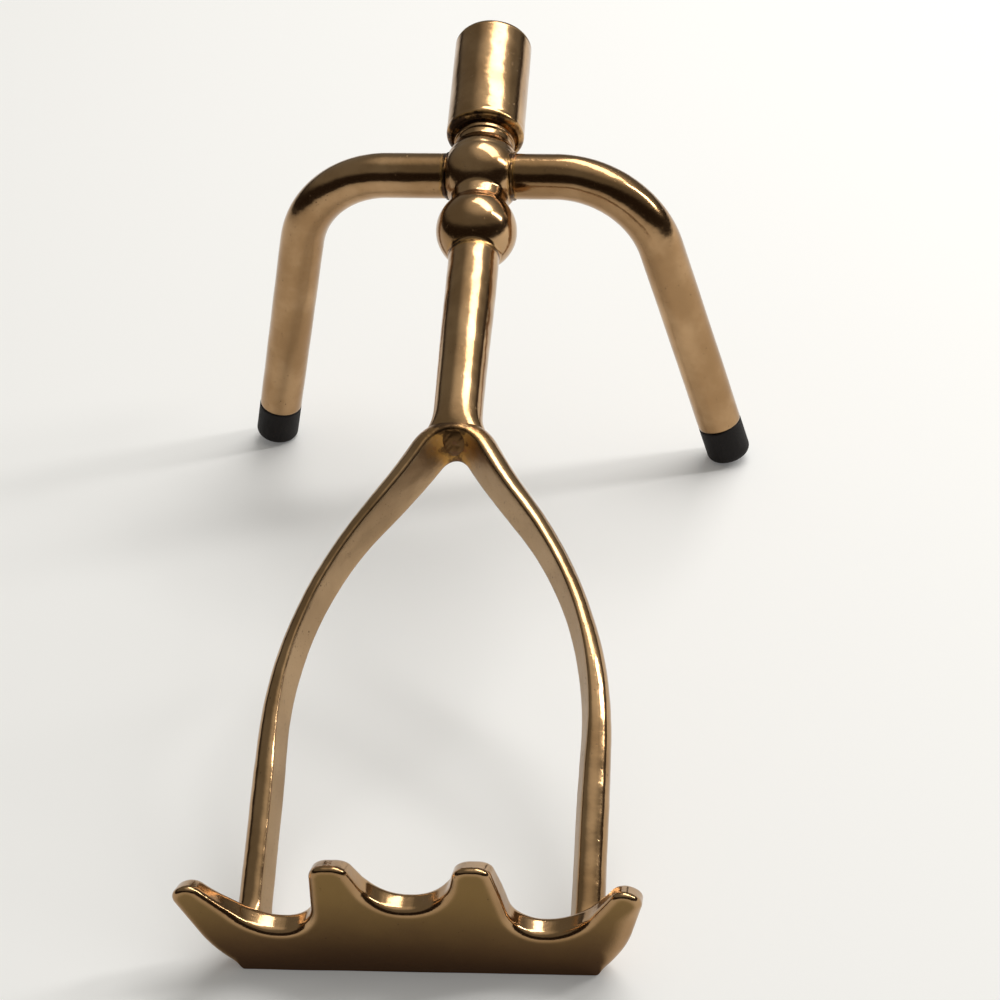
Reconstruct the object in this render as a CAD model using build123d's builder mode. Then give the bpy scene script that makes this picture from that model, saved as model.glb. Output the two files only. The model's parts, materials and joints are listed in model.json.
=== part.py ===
"""Long-necked brass head for a cue rest, standing on its two legs and its crown.

A turned hub joins a shaft socket, two bent legs and a neck. The neck carries a wishbone fork,
and the fork carries a crown plate with three notches for the cue. Every brass piece is brazed
to its neighbour; a rubber tip is pushed over the end of each leg.

Frame: the table is z = 0, the origin is the middle of the crown's flat foot, +Y runs towards
the shaft, +X is to the right when the crown is nearest. Millimetres and degrees.
"""
import os
from math import acos, cos, radians, sin, tan

from build123d import *

os.makedirs("parts", exist_ok=True)

# ---- fits -------------------------------------------------------------------------------
braze_gap = 0.03            # radial gap that the filler runs into, at every brazed joint
tip_gap = 0.05              # radial and end clearance of a rubber tip on its leg

# ---- shaft socket and hub ---------------------------------------------------------------
ferrule_d = 20.9
ferrule_length = 34.6
ferrule_floor = 5.5         # solid metal between the socket and the hub
ferrule_round = 1.0         # rounding of both outer rims
socket_d = 17.5
socket_lead_in = 0.4        # chamfer inside the mouth
spigot_d = 9.0              # hub's spigot in the ferrule's floor
spigot_length = 4.5
axis_tilt = 20.8            # the shaft rises this much away from the crown
ball_d = 21.1
ball_spacing = 18.8
waist_d = 14.8              # between the two balls
collar_d = 15.2             # between the rear ball and the ferrule
collar_reach = 13.0         # rear ball's centre to the ferrule's front face
cove_r = 0.9                # hollow rounding where a ball meets the waist or the collar

# ---- neck -------------------------------------------------------------------------------
neck_length = 70.0          # fork's bar to the front ball's centre, both on centre lines
neck_tilt = 18.8
neck_hub_d = 13.1
neck_fork_d = 12.0
neck_seat = 4.5             # front ball's centre to the floor of the neck's socket
tenon_d = 6.0               # neck's tenon, right through the fork

# ---- fork -------------------------------------------------------------------------------
fork_reach = 107.4          # crown's back face to the bar's middle, level
fork_rise = 50.5            # the same, upright
fork_root_height = 8.5      # arms' centre lines above the table, at the crown
fork_root_x = 36.3
fork_shoulder_x = 36.8      # where the two straight runs of an arm would meet
fork_shoulder_r = 96.0
fork_angle = 54.0           # each upper run against a line straight across
crotch_r = 7.8              # bar's centre line, round the middle
bar_r = 3.8                 # round side of the D-shaped bar
bar_flat = 1.3              # bar's centre to its flat side
bar_flat_lift = 27.0        # flat side looks inwards and up by this angle
ridge_round = 0.5
stub_length = 7.0           # round stub behind the bar, which the neck butts against
root_tenon_d = 4.6
root_tenon_length = 4.2

# ---- crown ------------------------------------------------------------------------------
crown_thickness = 6.3
foot_half = 38.8            # half the length of the flat foot
horn_x = 45.8               # outer horns: inner and outer corner of the outline
horn_height = 25.8
horn_side_x = 51.2
horn_side_height = 22.9
flank_x = 45.1              # knee of the side between foot and horn
flank_height = 5.6
prong_inner_x = 12.2
prong_outer_x = 18.6
prong_height = 31.4
prong_lean = 1.2            # cut by hand: both prongs lean this much to the left at the top
middle_notch_half = 7.6     # corners of the notch floors, before they are rounded
middle_notch_height = 18.4
side_notch_inner = 22.0
side_notch_outer = 34.8
side_notch_height = 11.7
top_fall = 3.0              # prong and horn tops slope down this much towards the back
top_cut_past = 3.5          # each sloping cut runs this far past the corners of its top
horn_crest_drop = 1.4       # a horn's slope starts this much below its sharp corner
edge_round = 0.8

# ---- legs and tips ----------------------------------------------------------------------
rod_d = 12.0
leg_seat = 4.2              # hub's axis to the floor of a leg's socket
leg_bend_r = 28.0
leg_askew = 4.9             # both legs are brazed on one line, turned this much off square
leg_shape = {               # bent by hand, so the two differ a little
    "left": {"side": -1, "reach": 47.1, "splay": 15.4, "lean": 2.0},
    "right": {"side": 1, "reach": 41.8, "splay": 13.7, "lean": 0.3},
}
tip_length = 10.9
tip_end_round = 2.0
tip_spigot_d = 7.4
tip_spigot_length = 7.5


# ---- places worked out from the sizes -----------------------------------------------------
def along(tilt):
    """Direction that runs towards the shaft and rises by tilt degrees."""
    return Vector(0, cos(radians(tilt)), sin(radians(tilt)))


def turned_plane(centre, direction):
    """Plane for a turned outline: x is the radius, y runs along the axis of turning."""
    return Plane(origin=centre, x_dir=(1, 0, 0), z_dir=Vector(1, 0, 0).cross(direction))


ball_r = ball_d / 2
crown_back = crown_thickness / 2
apex = Vector(0, crown_back + fork_reach, fork_root_height + fork_rise)
front_ball = apex + along(neck_tilt) * neck_length
hub_axis = along(axis_tilt)
hub_centre = front_ball + hub_axis * ball_spacing
hub_outline_plane = turned_plane(hub_centre, hub_axis)
neck_axis = along(neck_tilt)
cross_line = Vector(cos(radians(leg_askew)), -sin(radians(leg_askew)), 0)


def leg_direction(leg):
    """Unit vector down a leg, from its splay away from the hub and its lean backwards."""
    splay = cross_line * (leg["side"] * tan(radians(leg["splay"])))
    lean = Vector(0, 0, 1).cross(cross_line) * tan(radians(leg["lean"]))
    return (splay + lean + Vector(0, 0, -1)).normalized()


def leg_corner(leg):
    """Point where the leg's level and sloping centre lines would cross."""
    return hub_centre + cross_line * (leg["side"] * leg["reach"])


def tip_end(leg):
    """Middle of the tip's end face, placed so that its lowest edge stands on the table."""
    down = leg_direction(leg)
    slant = acos(-down.Z)
    drop = (rod_d / 2 - tip_end_round) * sin(slant) + tip_end_round * (1 - cos(slant))
    corner = leg_corner(leg)
    return corner + down * ((corner.Z - drop) / -down.Z)


# ---- ferrule --------------------------------------------------------------------------------
ferrule_front = collar_reach
ferrule_mouth = ferrule_front + ferrule_length
socket_depth = ferrule_length - ferrule_floor

with BuildPart() as ferrule:
    with BuildSketch(hub_outline_plane):
        with Locations((0, ferrule_front)):
            Rectangle(ferrule_d / 2, ferrule_length, align=(Align.MIN, Align.MIN))
    revolve(axis=Axis(hub_centre, hub_axis))
    rims = ferrule.edges().filter_by(GeomType.CIRCLE)
    fillet(rims, radius=ferrule_round)
    with Locations(Plane(origin=hub_centre + hub_axis * ferrule_mouth, z_dir=hub_axis)):
        Hole(radius=socket_d / 2, depth=socket_depth)
    mouth = ferrule.edges().filter_by(GeomType.CIRCLE).filter_by(
        lambda rim: abs(rim.radius - socket_d / 2) < 0.01)
    chamfer(mouth.sort_by(Axis(hub_centre, hub_axis))[-1], length=socket_lead_in)
    with Locations(Plane(origin=hub_centre + hub_axis * ferrule_front, z_dir=-hub_axis)):
        Hole(radius=spigot_d / 2 + braze_gap, depth=spigot_length)
ferrule.part.label = "ferrule"

# ---- hub ------------------------------------------------------------------------------------
with BuildPart() as hub:
    with BuildSketch(hub_outline_plane) as hub_outline:
        with Locations((0, 0), (0, -ball_spacing)):
            Circle(ball_r)
        with Locations((0, -ball_spacing / 2)):
            Rectangle(waist_d, ball_spacing)
        Rectangle(collar_d, collar_reach, align=(Align.CENTER, Align.MIN))
        collar_end = hub_outline.vertices().group_by(Axis(hub_centre, hub_axis))[-1]
        fillet(hub_outline.vertices() - collar_end, radius=cove_r)
        Rectangle(spigot_d, collar_reach + spigot_length, align=(Align.CENTER, Align.MIN))
        Rectangle(2 * ball_d, 6 * ball_d, align=(Align.MIN, Align.CENTER), mode=Mode.INTERSECT)
    revolve(axis=Axis(hub_centre, hub_axis))
    for side in (-1, 1):
        seat = hub_centre + cross_line * (side * leg_seat)
        with BuildSketch(Plane(origin=seat, z_dir=cross_line * side)):
            Circle(rod_d / 2 + braze_gap)
        extrude(amount=ball_d, mode=Mode.SUBTRACT)
    with BuildSketch(Plane(origin=front_ball - neck_axis * neck_seat, z_dir=-neck_axis)):
        Circle(neck_hub_d / 2 + braze_gap)
    extrude(amount=ball_d, mode=Mode.SUBTRACT)
hub.part.label = "hub"

# ---- neck -----------------------------------------------------------------------------------
with BuildPart() as neck:
    neck_end = neck_length - neck_seat
    with BuildSketch(turned_plane(apex, neck_axis)):
        with BuildLine():
            Polyline(
                (0, -bar_flat),
                (tenon_d / 2, -bar_flat),
                (tenon_d / 2, stub_length),
                (neck_fork_d / 2, stub_length),
                (neck_hub_d / 2, neck_end - ball_r + neck_seat),
                (neck_hub_d / 2, neck_end),
                (0, neck_end),
                close=True,
            )
        make_face()
    revolve(axis=Axis(apex, neck_axis))
neck.part.label = "neck"


# ---- fork -----------------------------------------------------------------------------------
slope = Vector(0, fork_reach, fork_rise)
fork_plane = Plane(origin=apex, x_dir=(1, 0, 0), z_dir=Vector(1, 0, 0).cross(slope))
bend_top = crotch_r / cos(radians(fork_angle)) - crotch_r
shoulder = bend_top - fork_shoulder_x * tan(radians(fork_angle))
past_root = -slope.length - 2 * bar_r       # made long, then cut at the crown's back face

with BuildPart() as fork:
    with BuildLine(fork_plane) as bar_line:
        FilletPolyline(
            (-fork_root_x, past_root),
            (-fork_shoulder_x, shoulder),
            (0, bend_top),
            (fork_shoulder_x, shoulder),
            (fork_root_x, past_root),
            radius=[fork_shoulder_r, crotch_r, fork_shoulder_r],
        )
    bar_path = bar_line.line
    with BuildSketch(Plane(origin=bar_path @ 0, x_dir=(1, 0, 0), z_dir=bar_path % 0)) as bar_section:
        Circle(bar_r)
        with Locations(Location((0, 0, 0), -bar_flat_lift)):
            with Locations((bar_flat, 0)):
                Rectangle(bar_r, 3 * bar_r, align=(Align.MIN, Align.CENTER), mode=Mode.SUBTRACT)
        fillet(bar_section.vertices(), radius=ridge_round)
    sweep(path=bar_path)
    split(bisect_by=Plane(origin=(0, crown_back, 0), z_dir=(0, 1, 0)), keep=Keep.TOP)
    with BuildSketch(Plane(origin=apex, z_dir=neck_axis)):
        Circle(neck_fork_d / 2)
    extrude(amount=stub_length)
    with BuildSketch(Plane(origin=apex + neck_axis * stub_length, z_dir=-neck_axis)):
        Circle(tenon_d / 2 + braze_gap)
    extrude(amount=3 * bar_r, mode=Mode.SUBTRACT)
    for side in (-1, 1):
        root = Vector(side * fork_root_x, crown_back, fork_root_height)
        with BuildSketch(Plane(origin=root, z_dir=(0, -1, 0))):
            Circle(root_tenon_d / 2)
        extrude(amount=root_tenon_length)
fork.part.label = "fork"

# ---- crown ----------------------------------------------------------------------------------
right_outline = (           # x, height and rounding of each corner, from the middle outwards
    (middle_notch_half, middle_notch_height, 10.2),
    (prong_inner_x, prong_height, 2.2),
    (prong_outer_x, prong_height, 1.9),
    (side_notch_inner, side_notch_height, 7.3),
    (side_notch_outer, side_notch_height, 12.2),
    (horn_x, horn_height, 3.3),
    (horn_side_x, horn_side_height, 3.3),
    (flank_x, flank_height, 26.0),
    (foot_half, 0, 0.4),
)
left_outline = [(-x, height, rounding) for x, height, rounding in right_outline[::-1]]
crown_outline = [
    (x - prong_lean if height == prong_height else x, height, rounding)
    for x, height, rounding in (*right_outline, *left_outline)
]
sloped_tops = [             # both ends, and the height at the front, of each sloping cut
    (prong_inner_x - top_cut_past, prong_outer_x + top_cut_past, prong_height),
    (horn_x - top_cut_past, horn_side_x + top_cut_past, horn_height - horn_crest_drop),
]


def above_foot(edge):
    """True for the rim's edges, and false for the sharp edges of the flat foot."""
    return edge.center().Z > 0.5


with BuildPart() as crown:
    with BuildSketch(Plane.XZ.offset(-crown_back)) as crown_face:
        with BuildLine():
            FilletPolyline(
                [(x, height) for x, height, rounding in crown_outline],
                radius=[rounding for x, height, rounding in crown_outline],
                close=True,
            )
        make_face()
    extrude(amount=crown_thickness)
    front_rim = crown.faces().sort_by(Axis.Y)[0].edges().filter_by(above_foot)
    back_rim = crown.faces().sort_by(Axis.Y)[-1].edges().filter_by(above_foot)
    fillet(front_rim + back_rim, radius=edge_round)
    for inner, outer, height in sloped_tops:
        for end in (-outer, inner):
            with BuildSketch(Plane.YZ.offset(end)):
                Polygon(
                    (-crown_back, height),
                    (crown_back, height - top_fall),
                    (crown_back, height + edge_round),
                    (-crown_back, height + edge_round),
                    align=None,
                )
            extrude(amount=outer - inner, mode=Mode.SUBTRACT)
    for side in (-1, 1):
        root = Vector(side * fork_root_x, crown_back, fork_root_height)
        with BuildSketch(Plane(origin=root, z_dir=(0, -1, 0))):
            Circle(root_tenon_d / 2 + braze_gap)
        extrude(amount=root_tenon_length, mode=Mode.SUBTRACT)
crown.part.label = "crown"

brass_parts = [ferrule.part, hub.part, neck.part, fork.part, crown.part]


# ---- legs and tips --------------------------------------------------------------------------
def make_leg(name, leg):
    """Bent rod from its socket in the hub to the turned-down spigot that holds the tip."""
    down = leg_direction(leg)
    shoulder = tip_end(leg) - down * tip_length
    with BuildPart() as rod:
        with BuildLine() as rod_line:
            FilletPolyline(
                hub_centre + cross_line * (leg["side"] * leg_seat),
                leg_corner(leg),
                shoulder,
                radius=leg_bend_r,
            )
        with BuildSketch(Plane(origin=rod_line.line @ 0, z_dir=rod_line.line % 0)):
            Circle(rod_d / 2)
        sweep(path=rod_line.line)
        with BuildSketch(Plane(origin=shoulder, z_dir=down)):
            Circle(tip_spigot_d / 2)
        extrude(amount=tip_spigot_length)
    rod.part.label = "leg_" + name
    return rod.part


def make_tip(name, leg):
    """Rubber tip, flush with the rod, with a blind hole for the leg's spigot."""
    down = leg_direction(leg)
    end = tip_end(leg)
    body_length = tip_length - tip_gap
    with BuildPart() as tip:
        with BuildSketch(Plane(origin=end, z_dir=-down)):
            Circle(rod_d / 2)
        extrude(amount=body_length)
        fillet(tip.edges().group_by(Axis(end, down))[-1], radius=tip_end_round)
        with BuildSketch(Plane(origin=end - down * tip_length, z_dir=down)):
            Circle(tip_spigot_d / 2 + tip_gap)
        extrude(amount=tip_spigot_length + tip_gap, mode=Mode.SUBTRACT)
    tip.part.label = "tip_" + name
    return tip.part


leg_parts = [make_leg(name, leg) for name, leg in leg_shape.items()]
tip_parts = [make_tip(name, leg) for name, leg in leg_shape.items()]

for piece in brass_parts + leg_parts + tip_parts:
    export_step(piece, "parts/" + piece.label + ".step")
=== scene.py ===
"""Cue rest head in brazed brass: its finished surfaces, and the pale floor and soft light it stands in.

Every size is in metres and every angle in radians. The table is z = 0, the origin is the middle of the
crown's flat foot, +Y runs towards the shaft and +X is to the right when the crown is nearest.
"""
import json
import math

import bpy
import numpy as np
from bpy.props import FloatProperty, FloatVectorProperty, PointerProperty
from bpy.types import Operator, Panel, PropertyGroup
from mathutils import Matrix, Vector

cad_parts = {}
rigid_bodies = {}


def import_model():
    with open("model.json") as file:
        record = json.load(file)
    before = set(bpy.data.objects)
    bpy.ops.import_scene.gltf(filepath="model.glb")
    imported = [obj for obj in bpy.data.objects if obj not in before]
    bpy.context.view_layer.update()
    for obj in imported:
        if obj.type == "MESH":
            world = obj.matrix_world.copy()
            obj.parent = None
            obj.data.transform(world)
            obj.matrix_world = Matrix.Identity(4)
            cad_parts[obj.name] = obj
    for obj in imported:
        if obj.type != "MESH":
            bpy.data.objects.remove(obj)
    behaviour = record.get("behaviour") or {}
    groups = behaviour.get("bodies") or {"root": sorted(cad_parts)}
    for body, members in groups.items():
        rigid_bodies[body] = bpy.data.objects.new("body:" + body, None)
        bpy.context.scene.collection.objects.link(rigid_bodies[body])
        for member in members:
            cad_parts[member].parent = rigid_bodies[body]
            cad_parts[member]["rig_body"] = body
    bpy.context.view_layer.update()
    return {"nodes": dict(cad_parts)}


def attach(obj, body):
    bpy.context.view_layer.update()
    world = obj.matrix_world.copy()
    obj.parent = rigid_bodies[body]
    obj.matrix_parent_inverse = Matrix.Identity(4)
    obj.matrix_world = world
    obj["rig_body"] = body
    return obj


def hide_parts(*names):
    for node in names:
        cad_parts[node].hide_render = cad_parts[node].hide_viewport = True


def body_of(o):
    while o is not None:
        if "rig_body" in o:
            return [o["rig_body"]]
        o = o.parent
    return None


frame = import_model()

bl_info = {
    "name": "Cue rest head",
    "version": (1, 0, 0),
    "blender": (4, 5, 0),
    "location": "3D View > Sidebar > Cue rest",
    "description": "Builds a long-necked brass cue rest head and a plain stage for it",
    "category": "Object",
}

MM = 0.001
AROUND = 96                 # points round a turned piece or a rod


def length(value, name, description):
    """A size in metres."""
    return FloatProperty(name=name, description=description, default=value, unit="LENGTH", precision=5)


def angle(degrees, name, description):
    """An angle, kept in radians."""
    return FloatProperty(name=name, description=description, default=math.radians(degrees), subtype="ANGLE")


def share(value, name, description):
    """A plain number from 0 to 1 or a little over."""
    return FloatProperty(name=name, description=description, default=value, subtype="FACTOR", min=0, max=4)


def colour(value, name, description):
    """A linear colour."""
    return FloatVectorProperty(name=name, description=description, default=value, subtype="COLOR", size=3,
                               min=0, max=1)


# ---- sizes and colours ----
class HubSizes(PropertyGroup):
    """Sizes of the turned hub and of the ferrule behind it."""

    tilt: angle(20.8, "Axis tilt", "How much the shaft rises away from the crown")
    ball: length(0.0211, "Ball", "Across each of the two balls")
    bulb_back: length(0.0019, "Rear bulb offset", "How far the rear ball is drawn out towards the ferrule")
    bulb_less: length(0.0005, "Rear bulb smaller", "How much less than the front ball's its radius is")
    ball_spacing: length(0.0188, "Ball spacing", "Between the centres of the two balls")
    waist: length(0.0148, "Waist", "Across the waist between the balls")
    collar: length(0.0152, "Collar", "Across the collar behind the rear ball")
    collar_reach: length(0.0130, "Collar reach", "Rear ball's centre to the ferrule's front face")
    bead: length(0.0004, "Collar bead", "How far the bead stands out of the collar")
    ferrule: length(0.0209, "Ferrule", "Outside of the ferrule")
    ferrule_length: length(0.0346, "Ferrule length", "Front face to mouth")
    rim: length(0.0015, "Ferrule rim", "Rounding of the ferrule's outer rims")
    bore: length(0.0175, "Bore", "Across the shaft socket")
    bore_depth: length(0.0291, "Bore depth", "Depth of the shaft socket")
    groove: length(0.00006, "Groove", "Depth of the turned ring near the ferrule's front face")


class NeckForkSizes(PropertyGroup):
    """Sizes of the neck and of the wishbone fork."""

    neck_tilt: angle(18.8, "Neck tilt", "How much the neck rises away from the fork")
    neck: length(0.0700, "Neck length", "Fork's bar to the front ball's centre")
    neck_back: length(0.0131, "Neck at the hub", "Across the neck where it meets the front ball")
    neck_front: length(0.0120, "Neck at the fork", "Across the neck where it meets the fork")
    reach: length(0.1074, "Fork reach", "Crown's back face to the bar's middle, level")
    rise: length(0.0505, "Fork rise", "The same, upright")
    root_height: length(0.0085, "Root height", "Arms above the table at the crown")
    root_x: length(0.0363, "Root from middle", "Arms from the middle at the crown")
    shoulder_x: length(0.0368, "Shoulder from middle", "Where an arm's two straight runs would meet")
    shoulder_bend: length(0.0960, "Shoulder bend", "Radius of the long bend of an arm")
    spread: angle(54.0, "Spread", "Each upper run against a line straight across")
    crotch: length(0.0078, "Crotch bend", "Radius of the bar's centre line round the middle")
    bar: length(0.0038, "Bar radius", "Round side of the D-shaped bar")
    flat: length(0.0013, "Flat side", "Bar's centre to its flat side")
    untwist: angle(9, "Untwist", "How much the arms untwist between the crotch and the crown")
    flat_root: length(0.0026, "Flat side at the root", "The same near the crown, where the bar is rounder")
    flat_lift: angle(27.0, "Flat side's lift", "The flat side looks inwards and up by this angle")
    web: length(0.0027, "Web", "How far the neck's end spreads sideways into the arms")


class CrownSizes(PropertyGroup):
    """Sizes of the notched crown plate."""

    thickness: length(0.0063, "Thickness", "Front face to back face")
    edge: length(0.0017, "Edge rounding", "Rounding of the polished rim")
    flank_bevel: share(1.25, "Flank bevel", "How much wider the rounding is along the right flank")
    lean: length(0.0012, "Lean", "The prongs and horns lean this much to the left at the top")
    top_fall: length(0.0030, "Top fall", "How much the prong and horn tops slope down to the back")
    back_taper: share(0.03, "Back taper", "How much narrower a prong is at its back edge")


class LegSizes(PropertyGroup):
    """Sizes of the bent legs and of their rubber tips."""

    rod: length(0.0120, "Rod", "Across the round rod")
    bend: length(0.0280, "Bend", "Radius of the leg's bend on its centre line")
    askew: angle(4.9, "Askew", "Both legs are brazed on one line, turned this much off square")
    left_reach: length(0.0471, "Left reach", "Hub to the corner of the left leg")
    left_splay: angle(15.4, "Left splay", "Left leg away from upright, sideways")
    left_lean: angle(2.0, "Left lean", "Left leg away from upright, backwards")
    right_reach: length(0.0418, "Right reach", "Hub to the corner of the right leg")
    right_splay: angle(13.7, "Right splay", "Right leg away from upright, sideways")
    right_lean: angle(0.3, "Right lean", "Right leg away from upright, backwards")
    tip: length(0.0109, "Tip length", "Length of a rubber tip")
    tip_round: length(0.0020, "Tip rounding", "Rounding of a tip's end")
    spigot: length(0.0074, "Spigot", "Turned-down end of the rod inside a tip")
    spigot_length: length(0.0075, "Spigot length", "How deep the spigot goes into a tip")


class Colours(PropertyGroup):
    """Colours of the finishes and of the stage."""

    brass: colour((0.46, 0.292, 0.152), "Brass", "Clean polished brass")
    brass_deep: colour((0.335, 0.200, 0.095), "Deep brass", "Slightly tarnished brass")
    tarnish: colour((0.055, 0.030, 0.017), "Tarnish", "Brown stains and the floor of pits")
    drawn: colour((0.38, 0.278, 0.175), "Drawn brass", "Dull flat side of the fork's bar")
    flame: colour((0.52, 0.275, 0.068), "Flame stain", "Orange stain that the torch left at a joint")
    copper: colour((0.36, 0.145, 0.070), "Copper", "Coppery spots in the filler metal")
    rubber: colour((0.0060, 0.0036, 0.0030), "Rubber", "Black rubber of the tips")
    scuffed: colour((0.026, 0.019, 0.016), "Scuffed rubber", "Scuffs and the worn end of a tip")
    floor: colour((0.80, 0.80, 0.80), "Floor", "Pale floor")
    satin: colour((0.225, 0.138, 0.048), "Satin brass", "Face of the crown near the notches")
    # Painted shade: the crown's satin face is blended to this colour towards its foot, in place of the
    # crown's own shadow on the floor that the face reflects.
    satin_painted_shade: colour((0.080, 0.037, 0.019), "Brass in painted shade", "Face of the crown at its foot")
    room: colour((0.030, 0.022, 0.018), "Room", "Dark room in front of the stage")
    ceiling: colour((0.235, 0.230, 0.205), "Ceiling", "Lighter ceiling over the stage and behind it")
    glow: colour((0.90, 0.88, 0.82), "Glow", "Ceiling near the window")
    daylight: colour((1.0, 0.985, 0.95), "Daylight", "Light of the windows")


# ---- places worked out from the sizes ----
def towards_shaft(tilt):
    """Unit vector that runs towards the shaft and rises by tilt."""
    return np.array((0.0, math.cos(tilt), math.sin(tilt)))


class Places:
    """Points and directions that several pieces share."""

    def __init__(self, scene):
        fork, hub, leg, crown = scene.rest_fork, scene.rest_hub, scene.rest_legs, scene.rest_crown
        self.crown_back = crown.thickness / 2
        self.apex = np.array((0.0, self.crown_back + fork.reach, fork.root_height + fork.rise))
        self.neck_axis = towards_shaft(fork.neck_tilt)
        self.hub_axis = towards_shaft(hub.tilt)
        self.front_ball = self.apex + self.neck_axis * fork.neck
        self.rear_ball = self.front_ball + self.hub_axis * hub.ball_spacing
        self.cross = np.array((math.cos(leg.askew), -math.sin(leg.askew), 0.0))
        self.slope = unit(np.array((0.0, fork.reach, fork.rise)))


def unit(vectors):
    """Vectors scaled to length one."""
    return vectors / np.linalg.norm(vectors, axis=-1, keepdims=True)


def leg_line(scene, place, side):
    """Corner, direction down, and end of a leg, as seen from the hub."""
    sizes = scene.rest_legs
    name = "left" if side < 0 else "right"
    reach, splay, lean = (getattr(sizes, name + part) for part in ("_reach", "_splay", "_lean"))
    back = np.cross((0, 0, 1), place.cross)
    down = unit(place.cross * (side * math.tan(splay)) + back * math.tan(lean) - np.array((0, 0, 1.0)))
    corner = place.rear_ball + place.cross * (side * reach)
    slant = math.acos(-down[2])
    drop = (sizes.rod / 2 - sizes.tip_round) * math.sin(slant) + sizes.tip_round * (1 - math.cos(slant))
    return corner, down, corner + down * ((corner[2] - drop) / -down[2])


# ---- surfaces ----
def smooth_step(low, high, value):
    """0 below low and 1 above high, with an S-curve 3t^2 - 2t^3 between them."""
    t = np.clip((value - low) / (high - low), 0, 1)
    return t * t * (3 - 2 * t)


def ripple(points, scale, seed):
    """Smooth hand-made unevenness between about -1 and 1: a sum of sines of the place, at odd angles."""
    turn = np.random.default_rng(seed)
    total = np.zeros(points.shape[:-1])
    for strength in (0.5, 0.3, 0.2):
        way = unit(turn.normal(size=3)) * (scale / strength)
        total += strength * np.sin(points @ way + turn.uniform(0, 2 * math.pi))
    return total


def wall_faces(count, around, closed=False):
    """Four-sided faces between neighbouring rings, and from the last ring to the first when closed."""
    ring, step = np.meshgrid(np.arange(count if closed else count - 1), np.arange(around), indexing="ij")
    ahead, after = (ring + 1) % count, (step + 1) % around
    return np.stack([ring * around + step, ring * around + after,
                     ahead * around + after, ahead * around + step], axis=-1).reshape(-1, 4)


def signed_volume(points, faces):
    """Six times the volume inside faces of one kind: the sum of their triangles' triple products."""
    fans = np.concatenate([faces[:, (0, j, j + 1)] for j in range(1, faces.shape[1] - 1)])
    a, b, c = points[fans].transpose(1, 0, 2)
    return np.sum(a * np.cross(b, c))


def add_piece(name, points, kinds, node, material, attributes):
    """Puts points and faces into a mesh whose faces look outwards, and hangs it on its CAD body.

    kinds is a list of arrays, one for each number of corners that a face has.
    """
    if sum(signed_volume(points, faces) for faces in kinds) < 0:
        kinds = [faces[:, ::-1] for faces in kinds]
    mesh = bpy.data.meshes.new(name)
    mesh.from_pydata(points.tolist(), [], [face for faces in kinds for face in faces.tolist()])
    mesh.polygons.foreach_set("use_smooth", np.ones(len(mesh.polygons), dtype=bool))
    for label, values in attributes.items():
        layer = mesh.attributes.new(label, "FLOAT", "POINT")
        layer.data.foreach_set("value", np.asarray(values, dtype=np.float32))
    mesh.materials.append(material)
    mesh.validate()
    mesh.update()
    piece = bpy.data.objects.new(name, mesh)
    bpy.context.collection.objects.link(piece)
    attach(piece, body_of(frame["nodes"][node])[0])
    return piece


def skin(name, rings, node, slot, material, replaces=(), **attributes):
    """A closed surface through rings of points, given as an array ring x point x 3.

    Neighbouring rings are joined by four-sided faces, and the first and the last ring are each closed
    with a fan of triangles to a point in their middle.
    """
    count, around, _ = rings.shape
    points = np.concatenate([rings.reshape(-1, 3), rings[:1].mean(axis=1), rings[-1:].mean(axis=1)])
    step = np.arange(around)
    after = (step + 1) % around
    first, last, end_row = count * around, count * around + 1, (count - 1) * around
    start = np.stack([np.full(around, first), after, step], axis=-1)
    end = np.stack([np.full(around, last), end_row + step, end_row + after], axis=-1)
    full = {}
    for label, values in attributes.items():
        grid = np.broadcast_to(np.asarray(values, dtype=float), (count, around))
        full[label] = np.concatenate([grid.ravel(), grid[:1].mean(axis=1), grid[-1:].mean(axis=1)])
    kinds = [wall_faces(count, around), start, end]
    piece = add_piece(name, points, kinds, node, material, full)
    if replaces:
        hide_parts(*replaces)


def rings_along(line, tangent, side, radii_across, radii_up=None):
    """Round or oval rings: line + across * cos + up * sin, with each ring square to the tangent."""
    turn = np.linspace(0, 2 * math.pi, AROUND, endpoint=False)
    across = unit(side - tangent * np.sum(side * tangent, axis=-1, keepdims=True))
    up = np.cross(tangent, across)
    radii_up = radii_across if radii_up is None else radii_up
    return (line[:, None] + across[:, None] * (radii_across[:, None] * np.cos(turn))[..., None]
            + up[:, None] * (radii_up[:, None] * np.sin(turn))[..., None])


def turned(centre, axis, profile):
    """Rings of a turned piece: each row of the profile is a radius and a place along the axis."""
    line = centre + axis * profile[:, 1:]
    tangent = np.broadcast_to(axis, line.shape)
    return rings_along(line, tangent, np.array((1.0, 0, 0)), profile[:, 0])


def quarter(centre_r, centre_t, radius, start, end, steps=10):
    """Points of an arc in a turned profile, from the start angle to the end angle in degrees."""
    a = np.radians(np.linspace(start, end, steps))
    return np.stack([centre_r + radius * np.cos(a), centre_t + radius * np.sin(a)], axis=-1)


def straight(start, end, steps):
    """Evenly spaced points from start to end, without the end."""
    t = np.linspace(0, 1, steps, endpoint=False)[:, None]
    return np.asarray(start) * (1 - t) + np.asarray(end) * t


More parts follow.
